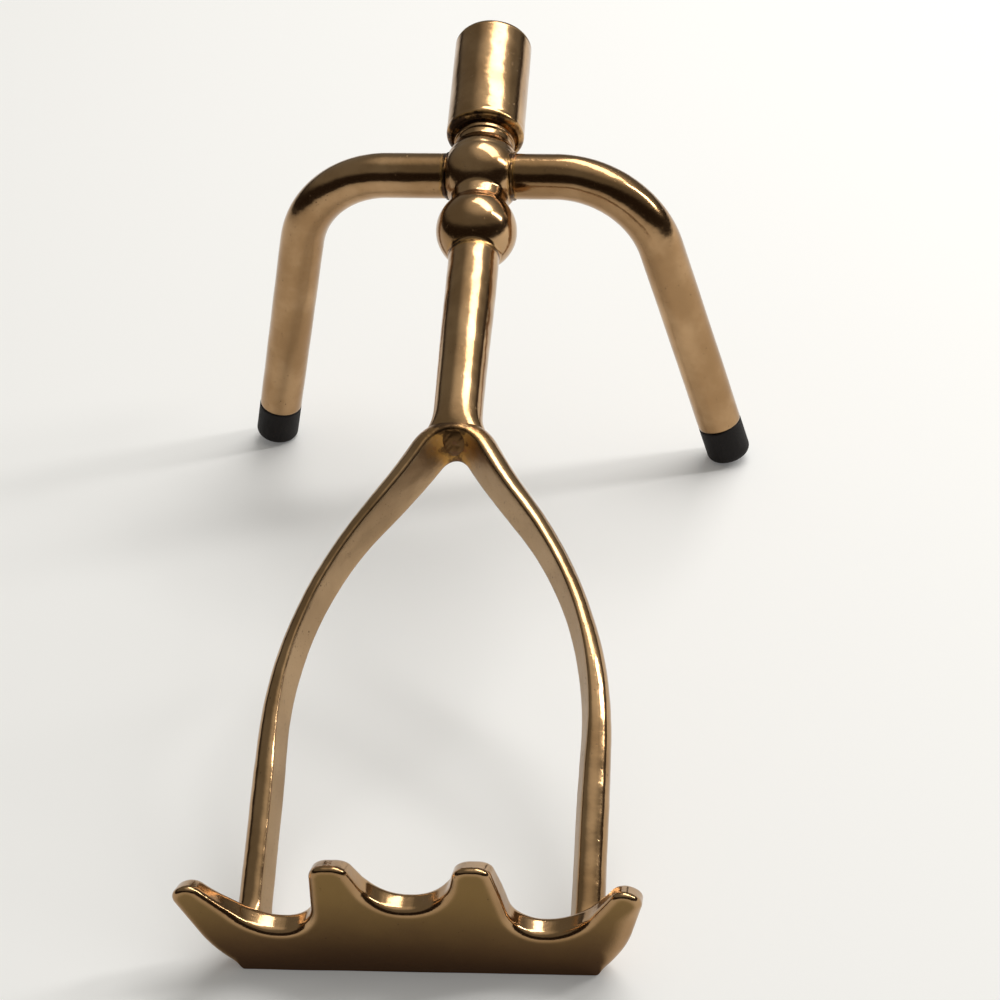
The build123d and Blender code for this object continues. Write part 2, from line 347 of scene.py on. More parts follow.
def bent_line(corners, radii, step):
    """Points along straight runs joined by arcs: at each inner corner the arc touches both runs."""
    corners = np.asarray(corners, dtype=float)
    parts, here = [], corners[0]
    for before, corner, after, radius in zip(corners, corners[1:], corners[2:], radii):
        back, on = unit(before - corner), unit(after - corner)
        half = math.acos(np.clip(back @ on, -1, 1)) / 2
        touch = corner + back * (radius / math.tan(half))
        leave = corner + on * (radius / math.tan(half))
        middle = corner + unit(back + on) * (radius / math.sin(half))
        swing = math.pi - 2 * half
        t = np.arange(0, 1, step / max(radius * swing, step))[:, None]
        arc = np.sin((1 - t) * swing) * (touch - middle) + np.sin(t * swing) * (leave - middle)
        arc /= math.sin(swing)
        parts += [straight(here, touch, max(2, round(np.linalg.norm(touch - here) / step))), middle + arc]
        here = leave
    parts += [straight(here, corners[-1], max(2, round(np.linalg.norm(corners[-1] - here) / step))),
              corners[-1:]]
    line = np.concatenate(parts)
    run = run_length(line)
    even = np.linspace(0, run[-1], round(run[-1] / step) + 1)
    return np.stack([np.interp(even, run, line[:, i]) for i in range(line.shape[1])], axis=-1)


def with_tangents(line):
    """Unit tangents of a line of points, from the differences of its neighbours."""
    return unit(np.gradient(line, axis=0))


def run_length(line):
    """Distance along a line of points, from its start."""
    return np.concatenate([[0], np.cumsum(np.linalg.norm(np.diff(line, axis=0), axis=1))])


def soft_max(sharpness, *values):
    """The largest of the values, with the change from one to the next rounded off: the p-norm."""
    return sum(np.maximum(v, 0) ** sharpness for v in values) ** (1 / sharpness)


# ---- finishes ----
class Wire:
    """A node's output. The operators add Math nodes, and colours go through the blend method."""

    def __init__(self, finish, socket):
        self.finish = finish
        self.socket = socket

    def _math(self, operation, first, second):
        return self.finish.add("ShaderNodeMath", {"operation": operation}, {0: first, 1: second})

    def __add__(self, other):
        return self._math("ADD", self, other)

    def __mul__(self, other):
        return self._math("MULTIPLY", self, other)

    def __sub__(self, other):
        return self._math("SUBTRACT", self, other)

    def __rsub__(self, other):
        return self._math("SUBTRACT", other, self)

    __radd__ = __add__
    __rmul__ = __mul__

    def above(self, low, high):
        """0 below low and 1 above high, smoothly; the other way round if high is the smaller."""
        return self.finish.add("ShaderNodeMapRange", {"interpolation_type": "SMOOTHSTEP"},
                               {"Value": self, "From Min": low, "From Max": high})

    def blend(self, first, second):
        """The first colour where this value is 0 and the second where it is 1."""
        return self.finish.add("ShaderNodeMix", {"data_type": "RGBA", "clamp_factor": True},
                               {0: self, 6: first, 7: second}, 2)


class Finish:
    """One material and its node tree."""

    def __init__(self, name):
        self.material = bpy.data.materials.new(name)
        self.material.use_nodes = True
        self.tree = self.material.node_tree
        self.shader = self.tree.nodes["Principled BSDF"]
        self.place = self.add("ShaderNodeTexCoord", {}, {}, "Object")

    def add(self, kind, settings, inputs, output=0):
        """Adds any node: its settings first, then the values or links of its sockets."""
        node = self.tree.nodes.new(kind)
        for key, value in settings.items():
            setattr(node, key, value)
        for key, value in inputs.items():
            self.feed(node.inputs[key], value)
        return Wire(self, node.outputs[output])

    def feed(self, socket, value):
        """Links a wire to a socket, or sets the socket's own value."""
        if isinstance(value, Wire):
            self.tree.links.new(value.socket, socket)
        elif socket.type == "RGBA":
            socket.default_value = (*value, 1.0)
        else:
            socket.default_value = value

    def noise(self, scale, detail=3.0, roughness=0.55, stretch=None):
        """Cloudy pattern from 0 to 1 whose features are about 1 / scale metres."""
        place = self.place
        if stretch:
            place = self.add("ShaderNodeMapping", {}, {"Vector": place, "Scale": stretch})
        return self.add("ShaderNodeTexNoise", {}, {"Vector": place, "Scale": scale, "Detail": detail,
                                                   "Roughness": roughness}, "Fac")

    def spots(self, scale, size, share_of_cells):
        """1 inside scattered round spots: cells of 1 / scale metres, of which only a share has one."""
        cells = {"Vector": self.place, "Scale": scale}
        near = self.add("ShaderNodeTexVoronoi", {}, cells, "Distance").above(size, size * 0.45)
        tint = self.add("ShaderNodeTexVoronoi", {}, cells, "Color")
        number = self.add("ShaderNodeSeparateColor", {}, {0: tint})
        return near * number.above(share_of_cells, share_of_cells - 0.02)

    def mark(self, name):
        """A value that the surface carries at each of its points."""
        return self.add("ShaderNodeAttribute", {"attribute_name": name}, {}, "Fac")

    def shade(self, **values):
        """Values or links for the shader's sockets."""
        for key, value in values.items():
            self.feed(self.shader.inputs[key.replace("_", " ").title()], value)

    def bump(self, height, distance, under=None):
        """Turns a height in the unit of distance into a normal, on top of another bump."""
        inputs = {"Height": height, "Distance": distance, "Strength": 1.0}
        if under:
            inputs["Normal"] = under
        return self.add("ShaderNodeBump", {}, inputs, "Normal")


class RoomFinish(Finish):
    """The node tree of the surroundings."""

    def __init__(self, world):
        world.use_nodes = True
        self.tree = world.node_tree


def finished(f, tint, rough, *bumps):
    """Material of a metal: its bumps, each a height and its distance in metres, lie one on the other."""
    normal = None
    for height, distance in bumps:
        normal = f.bump(height, distance, normal)
    f.shade(base_color=tint, roughness=rough, metallic=1.0, normal=normal)
    return f.material


def polished_brass(colours, name, buff=(1, 1, 1), wear=1.0, deep=0.0):
    """Hand-polished brass: uneven tint, tarnish in patches, pits, buffing lines and torch stains at joints.

    buff stretches the fine buffing lines; wear scales how much of the surface is stained and pitted; deep
    makes more of it the deeper of the two tints, which is painted shade on the part it is given to.
    """
    f = Finish(name)
    cloud = f.noise(70, 4)
    patch = f.noise(230, 5, 0.65)
    grain = f.noise(2600, 2)
    joint = f.mark("joint")
    tarnish = (patch + cloud * 0.6 + joint * 0.22).above(1.02, 1.22) * (0.75 * wear)
    pits = (f.spots(620, 0.24, 0.05 * wear) + f.spots(1700, 0.32, 0.14 * wear)) * patch.above(0.47, 0.62)
    stained = (joint + (patch - 0.5) * 0.9).above(0.38, 0.95)
    burnt = (joint + (patch - 0.5) * 1.3).above(0.76, 1.02)
    tint = (cloud + deep).above(0.35, 0.68).blend(colours.brass, colours.brass_deep)
    tint = (stained * 0.5).blend(tint, colours.flame)
    tint = (stained * f.spots(330, 0.42, 0.35) * 0.8).blend(tint, colours.copper)
    tint = (tarnish + burnt * 0.75).blend(tint, colours.tarnish)
    tint = (pits * 0.8).blend(tint, colours.tarnish)
    buffing = f.noise(900, 2, 0.5, buff)
    rough = 0.085 + cloud * 0.06 + grain * 0.03 + buffing * 0.05
    rough = rough + tarnish * 0.22 + stained * 0.14 + pits * 0.2
    return finished(f, tint, rough, (f.noise(95, 1, 0.4), 0.00035),
                    (f.noise(420, 2, 0.5) + joint * f.noise(700, 3) * 1.6, 0.000045),
                    (buffing * 0.6 - pits * 6.0, 0.0000060))


def make_finishes(colours):
    """All materials of the object, by name."""
    return {
        "ferrule": polished_brass(colours, "ferrule_brass", (1, 0.10, 0.10), 1.25),
        "hub": polished_brass(colours, "hub_brass", (0.15, 1, 1)),
        "neck": polished_brass(colours, "neck_brass", (1, 0.08, 0.20), 0.8),
        # Painted shade: deep = 0.10 makes the legs alone darker than the rest of the same brass.
        "legs": polished_brass(colours, "leg_brass", (1, 1, 0.08), 0.8, 0.10),
        "fork": fork_brass(colours),
        "crown": crown_brass(colours),
        "rubber": tip_rubber(colours),
    }


def fork_brass(colours):
    """Brass of the fork: the round side is polished, and the flat side is duller and finely speckled."""
    f = Finish("fork_brass")
    cloud = f.noise(60, 4)
    patch = f.noise(260, 5, 0.65)
    grain = f.noise(2200, 3)
    joint = f.mark("joint")
    flat = f.mark("flat")
    speckle = f.spots(2300, 0.42, 0.30) * flat * patch.above(0.42, 0.62)
    pits = f.spots(900, 0.30, 0.06) * patch.above(0.40, 0.60) + speckle * 0.6
    tarnish = (patch + cloud * 0.6).above(1.00, 1.22) * 0.6
    stained = (joint + (patch - 0.5) * 0.9).above(0.32, 0.85)
    burnt = (joint + (patch - 0.5) * 1.5).above(0.84, 1.06)
    tint = cloud.above(0.35, 0.68).blend(colours.brass, colours.brass_deep)
    tint = (flat * 0.5).blend(tint, colours.drawn)
    tint = (stained * (0.22 + flat * 0.66)).blend(tint, colours.flame)
    tint = (stained * f.spots(420, 0.42, 0.35) * 0.6).blend(tint, colours.copper)
    tint = (tarnish * (1 - stained * 0.6) + burnt * 0.8).blend(tint, colours.tarnish)
    tint = (pits * 0.75).blend(tint, colours.tarnish)
    rough = 0.10 + cloud * 0.07 + grain * 0.05 + flat * 0.17 + tarnish * 0.2 + stained * 0.12 + pits * 0.15
    return finished(f, tint, rough, (f.noise(110, 1, 0.4), 0.00030),
                    (f.noise(480, 2, 0.5) + joint * f.noise(700, 3) * 2.2, 0.000050),
                    (grain * (0.4 + flat * 1.4) - pits * 4.0, 0.0000080))


def crown_brass(colours):
    """Brass of the crown: satin faces with painted shade that darkens them towards the foot, and a polished
    rim.
    """
    f = Finish("crown_brass")
    height = f.add("ShaderNodeSeparateXYZ", {}, {0: f.place}, "Z")
    rim = f.mark("rim")
    cloud = f.noise(50, 4)
    patch = f.noise(240, 5, 0.6)
    grain = f.noise(3000, 3)
    face = 1 - rim
    # Painted shade: low is 1 at the foot and 0 above about 27 mm, and darkens the satin face towards the
    # foot.
    low = (height + (cloud - 0.5) * 0.010).above(0.027, -0.001)
    pits = f.spots(1100, 0.26, 0.07) * patch.above(0.42, 0.6)
    tarnish = (patch + cloud * 0.5).above(0.98, 1.20) * 0.5
    tint = cloud.above(0.3, 0.7).blend(colours.brass, colours.brass_deep)
    tint = (face * 0.95).blend(tint, colours.satin)
    # Painted shade: near the foot the satin face goes to the dark brass colour.
    tint = (face * low * 0.92).blend(tint, colours.satin_painted_shade)
    tint = (tarnish * 0.5 + pits * 0.6).blend(tint, colours.tarnish)
    rough = 0.10 + cloud * 0.05 + grain * 0.03 + face * (0.24 + patch * 0.08) + tarnish * 0.12 + pits * 0.15
    filed = f.noise(420, 3, 0.6, (1, 0.05, 1))
    return finished(f, tint, rough, (f.noise(120, 1, 0.4), 0.00025),
                    (f.noise(500, 2, 0.5) * 0.6 + filed * rim * 0.9, 0.000060),
                    (grain * (0.5 + face * 2.5) - pits * 5.0, 0.0000060))


def tip_rubber(colours):
    """Moulded black rubber with fine grain, a few scuffs, and chalk dust and wear at its end."""
    f = Finish("tip_rubber")
    grain = f.noise(2400, 4, 0.7)
    scuff = f.noise(260, 5, 0.7).above(0.56, 0.72)
    worn = f.mark("worn")
    tint = (scuff * 0.35 + worn * 0.25).blend(colours.rubber, colours.scuffed)
    rough = 0.52 + grain * 0.25 + scuff * 0.1
    f.shade(base_color=tint, roughness=rough, metallic=0.0)
    f.feed(f.shader.inputs["Specular IOR Level"], 0.28)
    f.feed(f.shader.inputs["Normal"], f.bump(grain + scuff * 0.6, 0.00009))
    return f.material


# ---- pieces ----
def make_ferrule(scene, place, material):
    """Turned sleeve: its profile runs up the bore, over the rim, down the wall and over the front."""
    h = scene.rest_hub
    front, mouth = h.collar_reach, h.collar_reach + h.ferrule_length
    r, bore, rim = h.ferrule / 2, h.bore / 2, h.rim
    floor = mouth - h.bore_depth
    lead = 0.4 * MM
    wall = straight((r, mouth - rim), (r, front + rim), 90)
    near = np.exp(-((wall[:, 1] - front - 2.2 * MM) / (0.38 * MM)) ** 2)
    wall[:, 0] -= h.groove * near
    profile = np.concatenate([
        straight((0.3 * MM, floor), (bore, floor), 6),
        straight((bore, floor), (bore, mouth - lead), 24),
        straight((bore, mouth - lead), (bore + lead, mouth), 4),
        quarter(r - rim, mouth - rim, rim, 90, 0),
        wall,
        quarter(r - rim, front + rim, rim, 0, -90),
        straight((r - rim, front), (0.3 * MM, front), 8),
    ])
    rings = turned(place.rear_ball, place.hub_axis, profile)
    outside = (np.arange(len(profile)) > 36) * 1.0
    rings += unit(rings - (place.rear_ball + place.hub_axis * profile[:, 1:])[:, None]) * (
        ripple(rings, 190, 4) * 0.05 * MM * outside[:, None])[..., None]
    joint = smooth_step(front + 2.2 * MM, front + 0.5 * MM, profile[:, 1]) * outside
    skin("ferrule_sleeve", rings, "ferrule", "brass_polished", material, ["ferrule"],
         joint=joint[:, None] * 0.95)


def make_hub(scene, place, material):
    """Two balls, a waist, a collar and its bead, turned as one: the soft maximum of their own radii."""
    h = scene.rest_hub
    ball = h.ball / 2
    t = np.linspace(-h.ball_spacing - ball * 0.998, h.collar_reach + 0.4 * MM, 260)
    front = np.sqrt(np.maximum(ball ** 2 - (t + h.ball_spacing) ** 2, 0))
    rear = np.sqrt(np.maximum(ball ** 2 - t ** 2, 0))
    bulb = np.sqrt(np.maximum((ball - h.bulb_less) ** 2 - (t - h.bulb_back) ** 2, 0))
    waist = np.where(abs(t + h.ball_spacing / 2) < h.ball_spacing / 2, h.waist / 2, 0)
    collar = np.where(t > 0, h.collar / 2, 0)
    bead_at = h.collar_reach - 1.6 * MM
    beside_bead = np.maximum(abs(t - bead_at) - 0.55 * MM, 0)
    bead = (h.collar / 2 + h.bead) * np.exp(-(beside_bead / (0.5 * MM)) ** 2)
    radius = soft_max(26, front, np.maximum(rear, bulb), waist, collar, bead)
    profile = np.stack([radius, t], axis=-1)
    rings = turned(place.rear_ball, place.hub_axis, profile)
    rings += unit(rings - place.rear_ball) * (ripple(rings, 260, 8) * 0.05 * MM)[..., None]
    at_legs = np.abs((rings - place.rear_ball) @ place.cross)
    at_neck = -((rings - place.front_ball) @ place.neck_axis)
    joint = np.maximum(smooth_step(6.6 * MM, 8.9 * MM, at_legs) * (np.abs(t) < ball)[:, None],
                       smooth_step(6.6 * MM, 8.6 * MM, at_neck))
    joint = np.maximum(joint, smooth_step(12.2 * MM, 13.0 * MM, t)[:, None] * 0.4)
    skin("hub_turning", rings, "hub", "brass_polished", material, ["hub"], joint=joint)


def make_neck(scene, place, material):
    """Tapered rod that spreads into the ball as a round fillet and into the fork as a wide oval web."""
    n, h = scene.rest_fork, scene.rest_hub
    t = np.concatenate([np.linspace(1.6 * MM, 14 * MM, 90), np.linspace(14.3 * MM, n.neck - 4.5 * MM, 150)])
    taper = n.neck_front / 2 + (n.neck_back - n.neck_front) / 2 * smooth_step(0, n.neck * 0.85, t)
    ball = np.sqrt(np.maximum((h.ball / 2) ** 2 - (t - n.neck) ** 2, 0)) * 0.985
    spread = n.web * np.exp(-(np.maximum(t - 1.6 * MM, 0) / (3.8 * MM)) ** 1.6)
    across = soft_max(20, taper + spread, ball)
    up = soft_max(20, taper - spread * 0.50, ball)
    line = place.apex + t[:, None] * place.neck_axis
    tangent = np.broadcast_to(place.neck_axis, line.shape)
    rings = rings_along(line, tangent, np.array((1.0, 0, 0)), across, up)
    rings += unit(rings - line[:, None]) * (ripple(rings, 170, 15) * 0.06 * MM)[..., None]
    joint = np.maximum(smooth_step(n.neck - 7.6 * MM, n.neck - 8.9 * MM, t)
                       * smooth_step(n.neck - 10.6 * MM, n.neck - 9.2 * MM, t),
                       smooth_step(7.5 * MM, 0.5 * MM, t) * 0.75)
    skin("neck_rod", rings, "neck", "brass_polished", material, ["neck"], joint=joint[:, None])


FORK_STATIONS = (0, 10, 20, 30, 40, 60, 80, 100, 150)          # millimetres from the crotch along an arm
LEFT_THICKNESS = (1.42, 1.32, 1.21, 1.09, 0.98, 0.93, 0.94, 1.01, 1.02)
CORNER_SHARPNESS = 10.0      # of the D's two corners: the exponent of the soft minimum
RIGHT_THICKNESS = (1.42, 1.28, 1.18, 1.10, 1.00, 0.97, 1.02, 1.08, 1.10)


def fork_line(scene, place):
    """Centre line of the whole fork, from the left root over the crotch to the right root."""
    n = scene.rest_fork
    top = n.crotch / math.cos(n.spread) - n.crotch
    shoulder = top - n.shoulder_x * math.tan(n.spread)
    low = -math.hypot(n.reach, n.rise) - 0.5 * MM
    flat = [(-n.root_x, low), (-n.shoulder_x, shoulder), (0, top),
            (n.shoulder_x, shoulder), (n.root_x, low)]
    corners = [place.apex + np.array((x, 0, 0)) + place.slope * y for x, y in flat]
    return bent_line(corners, (n.shoulder_bend, n.crotch, n.shoulder_bend), 0.5 * MM)


def make_fork(scene, place, material):
    """D-shaped bar carried round the wishbone.

    The radius at each angle is the soft minimum of a circle and of a straight line that is the flat side;
    the whole section swells and thins along the bar, and its root widens a little against the crown. The
    flat side moves outwards towards the crown, so that the bar is rounder there, and turns to face inwards.
    """
    n = scene.rest_fork
    line = fork_line(scene, place)
    tangent = with_tangents(line)
    run = run_length(line) / MM
    from_crotch = run - run[-1] / 2
    arm = np.abs(from_crotch)
    thick = np.where(from_crotch < 0, np.interp(arm, FORK_STATIONS, LEFT_THICKNESS),
                     np.interp(arm, FORK_STATIONS, RIGHT_THICKNESS))
    blur = np.hanning(41)
    thick = np.convolve(np.pad(thick, len(blur) // 2, mode="edge"), blur / blur.sum(), mode="valid")
    to_root = run[-1] / 2 - arm
    thick = thick * (1 + 0.16 * np.exp(-(to_root / 2.2) ** 2))
    turn = np.linspace(0, 2 * math.pi, AROUND, endpoint=False)
    normal = np.cross((1.0, 0, 0), place.slope)
    line = line + place.slope * (2.0 * MM * np.exp(-(arm / 10.0) ** 2))[:, None]
    inward = unit(np.cross(tangent, normal))
    middle = place.apex + place.slope * (-40 * MM)
    inward *= np.sign(np.sum((middle - line) * inward, axis=-1, keepdims=True))
    lift = (n.flat_lift - n.untwist * smooth_step(35, 105, arm))[:, None]
    facing = inward * np.cos(lift) + normal * np.sin(lift)
    beside = normal * np.cos(lift) - inward * np.sin(lift)
    flat_side = (n.flat + (n.flat_root - n.flat) * smooth_step(45, 110, arm))[:, None]
    radius = 1 / soft_max(CORNER_SHARPNESS, 1 / n.bar, np.cos(turn) / flat_side)
    wobble = 1 + 0.004 * ripple(line, 420, 21) + 0.014 * ripple(line, 150, 22)
    reach = radius * (thick * wobble)[:, None]
    rings = (line[:, None] + facing[:, None] * (reach * np.cos(turn))[..., None]
             + beside[:, None] * (reach * np.sin(turn))[..., None])
    rings += unit(rings - line[:, None]) * (ripple(rings, 600, 31) * 0.02 * MM)[..., None]
    flat = smooth_step(0.96, 0.90, radius / n.bar)
    joint = np.maximum(np.exp(-(arm / 9.0) ** 2) * 1.08, smooth_step(4.0, 0.5, to_root) * 0.8)
    skin("fork_bar", rings, "fork", "brass_polished", material, ["fork"], joint=joint[:, None], flat=flat)


def make_crotch_filler(scene, place, material):
    """Lumpy button of filler over the tenon's end: a low dome whose height and edge wander."""
    n = scene.rest_fork
    normal = np.cross((1.0, 0, 0), place.slope)
    out = normal * math.sin(n.flat_lift) - place.slope * math.cos(n.flat_lift)
    u = np.linspace(0.03, 1, 26)[:, None]
    turn = np.linspace(0, 2 * math.pi, AROUND, endpoint=False)[None]
    edge = 3.6 * MM * (1 + 0.05 * np.sin(3 * turn + 1) + 0.04 * np.sin(7 * turn))
    radius = edge * u
    dip = (u * np.cos(turn) - 0.15) ** 2 + (u * np.sin(turn) + 0.2) ** 2
    height = 0.75 * MM * (1 - u ** 3) - 0.40 * MM * np.exp(-dip / 0.06)
    side = np.array((1.0, 0, 0))
    up = np.cross(out, side)
    base = place.apex + place.slope * 2.0 * MM + out * (n.flat * 1.42 - 0.30 * MM) + normal * 0.9 * MM
    rings = (base + side * (radius * np.cos(turn))[..., None] + up * (radius * np.sin(turn))[..., None]
             + out * height[..., None])
    rings += out * (ripple(rings, 1700, 35) * 0.10 * MM * (1 - u ** 2))[..., None]
    under = rings[::-1][:1] - out * 1.5 * MM
    skin("crotch_filler", np.concatenate([rings, under]), "neck", "brass_polished", material,
         joint=np.full((len(rings) + 1, 1), 1.30), flat=0.8)


def filler_bead(name, node, material, centre, axis, radius, thick, seed):
    """Bead of filler round a joint: a ring of small circles whose radius wanders and almost dies out."""
    turn = np.linspace(0, 2 * math.pi, 144, endpoint=False)
    side = unit(np.cross(axis, (0.13, 0.2, 1.0)))
    up = np.cross(axis, side)
    ring_out = side * np.cos(turn)[:, None] + up * np.sin(turn)[:, None]
    line = centre + ring_out * radius
    wander = thick * (1 + 0.45 * ripple(line, 900, seed) + 0.25 * ripple(line, 2400, seed + 1))
    small = np.linspace(0, 2 * math.pi, 20, endpoint=False)
    loops = (line[:, None] + ring_out[:, None] * (wander[:, None] * np.cos(small))[..., None]
             + axis * (wander[:, None] * np.sin(small) * 1.5)[..., None])
    points = loops.reshape(-1, 3)
    kinds = [wall_faces(*loops.shape[:2], closed=True)]
    add_piece(name, points, kinds, node, material, {"joint": np.full(len(points), 1.05)})


PRONG_MIDDLE = 15.4 * MM     # from the middle of the crown to the middle of a prong
LEAN_FROM = 20              # corners of the outline above this height lean, in millimetres
OUTLINE_POINTS = 900
CROWN_OUTLINE = (           # x and height of each corner in millimetres, and its rounding, to the right
    (7.6, 18.6, 9.8), (11.7, 31.4, 3.9), (19.2, 31.4, 3.5), (22.0, 11.7, 7.3), (34.8, 11.7, 12.2),
    (45.8, 25.8, 3.3), (51.2, 22.9, 3.3), (45.1, 5.6, 26.0), (38.8, 0.0, 0.4),
)


def crown_outline(scene):
    """Closed outline of the crown, as evenly spaced points with their outward normals, in metres."""
    right = np.array(CROWN_OUTLINE)
    corners = np.concatenate([right[::-1] * (-1, 1, 1), right])
    corners[corners[:, 1] > LEAN_FROM, 0] -= scene.rest_crown.lean / MM
    foot_middle = (corners[0] + corners[-1]) / 2
    loop = np.concatenate([[foot_middle], corners, [foot_middle]])
    line = bent_line(loop[:, :2], loop[1:-1, 2], 0.28)[:-1]
    run = np.concatenate([run_length(line), [0]])
    run[-1] = run[-2] + np.linalg.norm(line[0] - line[-1])
    even = np.linspace(0, run[-1], OUTLINE_POINTS, endpoint=False)
    closed = np.concatenate([line, line[:1]])
    line = np.stack([np.interp(even, run, closed[:, i]) for i in (0, 1)], axis=-1)
    tangent = unit(np.roll(line, -1, axis=0) - np.roll(line, 1, axis=0))
    outward = np.stack([-tangent[:, 1], tangent[:, 0]], axis=-1)
    return line * MM, outward


def make_crown(scene, material):
    """Notched plate: its outline is drawn in by a quarter circle at each face, and its tops fall backwards.

    The rim's rounding dies out along the flat foot and widens on the right flank. A point above the notches
    is lowered in proportion to its height and to how far back it is, and the prongs narrow towards the back
    by the back taper.
    """
    c = scene.rest_crown
    line, outward = crown_outline(scene)
    half, edge = c.thickness / 2, c.edge
    a = np.radians(np.linspace(0, 90, 9))
    inset = np.concatenate([[1.45 * edge, 1.2 * edge], edge * (1 - np.sin(a))])  # two rings on the face
    depth = np.concatenate([[-half, -half], -half + edge * (1 - np.cos(a))])
    inset = np.concatenate([inset, np.zeros(9), inset[::-1]])
    depth = np.concatenate([depth, np.linspace(depth[-1], -depth[-1], 11)[1:-1], -depth[::-1]])
    soft = 0.10 + 0.90 * smooth_step(0.2 * MM, 2.4 * MM, line[:, 1])
    on_flank = (smooth_step(40 * MM, 44 * MM, line[:, 0]) * smooth_step(21 * MM, 15 * MM, line[:, 1])
                * smooth_step(1 * MM, 6 * MM, line[:, 1]))
    soft *= 1 + c.flank_bevel * on_flank
    flat = line[None] + outward[None] * (-inset[:, None] * soft[None])[..., None]
    x, z = flat[..., 0], flat[..., 1]
    y = np.broadcast_to(depth[:, None], x.shape)
    back = (y + half) / c.thickness
    from_middle = np.abs(x + c.lean)
    on_horn = smooth_step(21 * MM, 24 * MM, from_middle)
    on_prong = (1 - on_horn) * smooth_step(5 * MM, 9 * MM, from_middle)
    prong_z = np.clip((z - 22 * MM) / (9.2 * MM), 0, 1)
    horn_z = smooth_step(12 * MM, 24 * MM, z)
    fall = c.top_fall * back * ((1 - on_horn) * prong_z ** 1.2 + on_horn * horn_z)
    prong_mid = np.sign(x + c.lean) * PRONG_MIDDLE - c.lean
    taper = 1 - c.back_taper * back * on_prong * smooth_step(17 * MM, 29 * MM, z)
    x = prong_mid + (x - prong_mid) * taper
    z = z - fall
    rings = np.stack([x, y, z], axis=-1)
    rim = np.broadcast_to(smooth_step(1.3 * edge, 0.45 * edge, inset)[:, None], x.shape)
    rim = rim * smooth_step(-0.5 * MM, 1.5 * MM, z)
    rings[..., 1] += ripple(rings, 120, 41) * 0.05 * MM
    count, around = x.shape
    front_face = np.arange(around)[None, ::-1]
    back_face = np.arange(around * (count - 1), around * count)[None]
    kinds = [wall_faces(count, around), front_face, back_face]
    piece = add_piece("crown_plate", rings.reshape(-1, 3), kinds, "crown", material,
                      {"rim": rim.ravel()})
    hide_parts("crown")


def make_leg(scene, place, side, material):
    """Bent rod: round rings along line, arc and line, flared into the ball and stepped down for the tip."""
    s = scene.rest_legs
    name = "left" if side < 0 else "right"
    corner, down, end = leg_line(scene, place, side)
    shoulder = end - down * s.tip
    start = place.rear_ball + place.cross * (side * 5.0 * MM)
    line = bent_line([start, corner, shoulder], [s.bend], 0.45 * MM)
    run = run_length(line)
    ball = scene.rest_hub.ball / 2
    radius = soft_max(22, np.full(len(line), s.rod / 2),
                      np.sqrt(np.maximum(ball ** 2 - (run + 5.0 * MM) ** 2, 0)) * 0.985)
    left = run[-1] - run
    radius -= 0.35 * MM * np.clip(1 - left / (0.4 * MM), 0, 1) ** 2
    spigot = straight(shoulder + down * 0.01 * MM, shoulder + down * s.spigot_length, 14)
    line = np.concatenate([line, spigot, [shoulder + down * s.spigot_length]])
    radius = np.concatenate([radius, np.full(len(spigot), s.spigot / 2), [s.spigot / 2 - 0.4 * MM]])
    run = run_length(line)
    tangent = with_tangents(line)
    tangent[-len(spigot) - 2:] = down
    rings = rings_along(line, tangent, np.array((0, 1.0, 0)), radius)
    rings += unit(rings - line[:, None]) * (ripple(rings, 140, 50 + side) * 0.06 * MM)[..., None]
    joint = smooth_step(6.5 * MM, 4.2 * MM, run)
    skin("leg_rod_" + name, rings, "leg_" + name, "brass_polished", material, ["leg_" + name],
         joint=joint[:, None])


def make_tip(scene, place, side, material):
    """Push-on rubber tip: its profile runs from the blind hole over the uneven top to the rounded end."""
    s = scene.rest_legs
    name = "left" if side < 0 else "right"
    _, down, end = leg_line(scene, place, side)
    r, rnd, hole = s.rod / 2 + 0.03 * MM, s.tip_round, s.spigot / 2 + 0.05 * MM
    top, lip = s.tip - 0.05 * MM, 0.35 * MM
    floor = s.tip - s.spigot_length - 0.05 * MM
    profile = np.concatenate([
        straight((0.2 * MM, floor), (hole, floor), 6),
        straight((hole, floor), (hole, top), 20),
        straight((hole, top), (r - lip, top), 5),
        quarter(r - lip, top - lip, lip, 90, 0, 6),
        straight((r, top - lip), (r, rnd), 40),
        quarter(r - rnd, rnd, rnd, 0, -84, 18),
        straight((r - rnd, 0.0), (0.2 * MM, 0.0), 7),
    ])
    rings = turned(end, -down, profile)
    uneven = smooth_step(top - 2.5 * MM, top, profile[:, 1]) * (np.arange(len(profile)) > 25)
    rings += -down * (uneven[:, None] * 0.28 * MM * (1 + ripple(rings, 520, 60 + side)))[..., None]
    worn = smooth_step(1.6 * MM, 0.2 * MM, profile[:, 1]) * (np.arange(len(profile)) > 30)
    skin("rubber_tip_" + name, rings, "tip_" + name, "rubber", material, ["tip_" + name],
         worn=worn[:, None])


# ---- stage ----
def look(origin, target):
    """Rotation that points an object's -Z at the target with +Y up."""
    return (Vector(target) - Vector(origin)).to_track_quat("-Z", "Y").to_matrix().to_4x4()


def add_window(name, azimuth, elevation, distance, width, height, power, tint):
    """Soft rectangular light that looks at the object; azimuth runs in degrees from +Y towards +X."""
    light = bpy.data.lights.new(name, "AREA")
    light.shape, light.size, light.size_y = "RECTANGLE", width, height
    light.energy, light.color = power, tint
    lamp = bpy.data.objects.new(name, light)
    bpy.context.collection.objects.link(lamp)
    target = Vector((0, 0.11, 0.04))
    a, e = math.radians(azimuth), math.radians(elevation)
    place = target + distance * Vector((math.sin(a) * math.cos(e), math.cos(a) * math.cos(e), math.sin(e)))
    lamp.matrix_world = Matrix.Translation(place) @ look(place, target)


